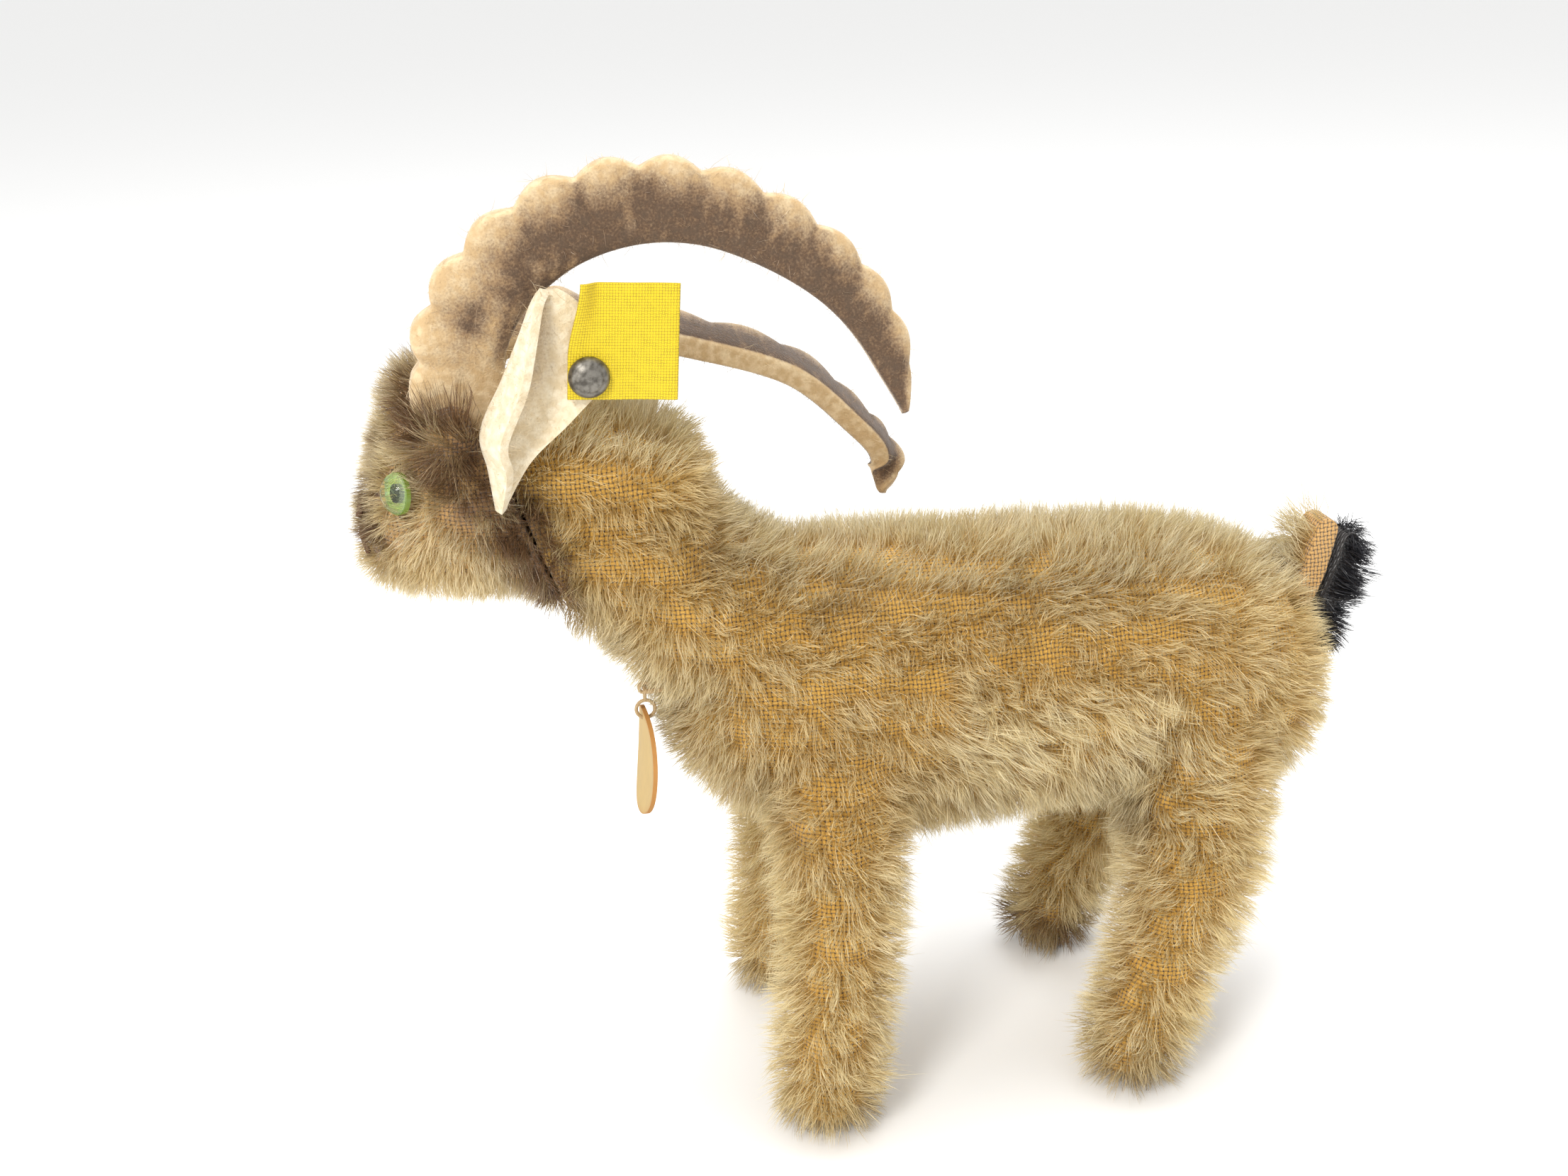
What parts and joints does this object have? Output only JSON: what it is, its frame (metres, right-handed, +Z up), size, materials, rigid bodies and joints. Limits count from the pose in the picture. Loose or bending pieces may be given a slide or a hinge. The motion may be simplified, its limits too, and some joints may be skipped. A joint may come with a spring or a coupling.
{
  "type": "plush mountain goat toy",
  "caption": "Standing mohair plush mountain goat with a turning head, wired scalloped felt horns, cupped felt ears, glass eyes, a riveted ear flag and a round chest card.",
  "frame": {"origin": "on the floor under the middle of the toy's bounding box", "axes": "+Z up, the goat faces -X, its left side faces -Y"},
  "size_m": [0.1445, 0.0554, 0.1381],
  "materials": {
    "tan_mohair": "woven backing with sparse mohair pile",
    "pale_mohair": "dense pale mohair pile",
    "black_mohair": "black mohair pile",
    "wood_wool": "packed wood wool",
    "horn_felt": "airbrushed wool felt",
    "ear_felt": "wool felt",
    "steel_wire": "drawn steel",
    "fibreboard": "pressed fibre disc",
    "eye_glass": "clear glass",
    "eye_enamel": "green enamel",
    "pupil_black": "black enamel",
    "button_metal": "dull plated steel",
    "flag_cloth": "woven cotton, waxed",
    "card_board": "tan pasteboard",
    "thread": "twisted cotton thread"
  },
  "bodies": {
    "torso": {"side_panel_left": "tan_mohair", "side_panel_right": "tan_mohair", "belly_gusset": "pale_mohair", "trunk_stuffing": "wood_wool", "neck_skin": "tan_mohair", "neck_stuffing": "wood_wool", "neck_disc": "fibreboard", "neck_washer": "steel_wire", "front_left_leg_skin": "tan_mohair", "front_right_leg_skin": "tan_mohair", "rear_left_leg_skin": "tan_mohair", "rear_right_leg_skin": "tan_mohair", "front_left_leg_stuffing": "wood_wool", "front_right_leg_stuffing": "wood_wool", "rear_left_leg_stuffing": "wood_wool", "rear_right_leg_stuffing": "wood_wool", "front_frame_wire": "steel_wire", "rear_frame_wire": "steel_wire", "tail_front": "pale_mohair", "tail_back": "black_mohair", "closing_stitches": "thread", "chest_stitch": "thread"},
    "head": {"cheek_left": "pale_mohair", "cheek_right": "pale_mohair", "head_gusset": "tan_mohair", "head_stuffing": "wood_wool", "head_disc": "fibreboard", "head_washer": "steel_wire", "cotter_pin": "steel_wire", "horn_left_outer_felt": "horn_felt", "horn_left_inner_felt": "horn_felt", "horn_left_core": "wood_wool", "horn_left_wire": "steel_wire", "horn_right_outer_felt": "horn_felt", "horn_right_inner_felt": "horn_felt", "horn_right_core": "wood_wool", "horn_right_wire": "steel_wire", "ear_left": "ear_felt", "ear_right": "ear_felt", "eye_left_glass": "eye_glass", "eye_left_iris": "eye_enamel", "eye_left_pupil": "pupil_black", "eye_right_glass": "eye_glass", "eye_right_iris": "eye_enamel", "eye_right_pupil": "pupil_black", "eye_wire": "steel_wire", "nose_stitches": "thread", "mouth_stitches": "thread", "ear_button": "button_metal", "ear_button_washer": "button_metal"},
    "flag": {"ear_flag": "flag_cloth"},
    "card": {"chest_card": "card_board", "chest_thread": "thread"}
  },
  "joints": [
    {"name": "neck_swivel", "type": "hinge", "parent": "torso", "child": "head", "pos_m": [-0.05, 0, 0.09], "axis": [0.9511, 0, 0.309], "range_deg": [-6, 65]},
    {"name": "flag_pivot", "type": "hinge", "parent": "head", "child": "flag", "pos_m": [-0.0416, -0.016, 0.1124], "axis": [0, -1, 0], "range_deg": [-20, 10]},
    {"name": "card_swing", "type": "hinge", "parent": "torso", "child": "card", "pos_m": [-0.0365, -0.006, 0.0654], "axis": [0, 1, 0], "range_deg": [0, 55]}
  ]
}
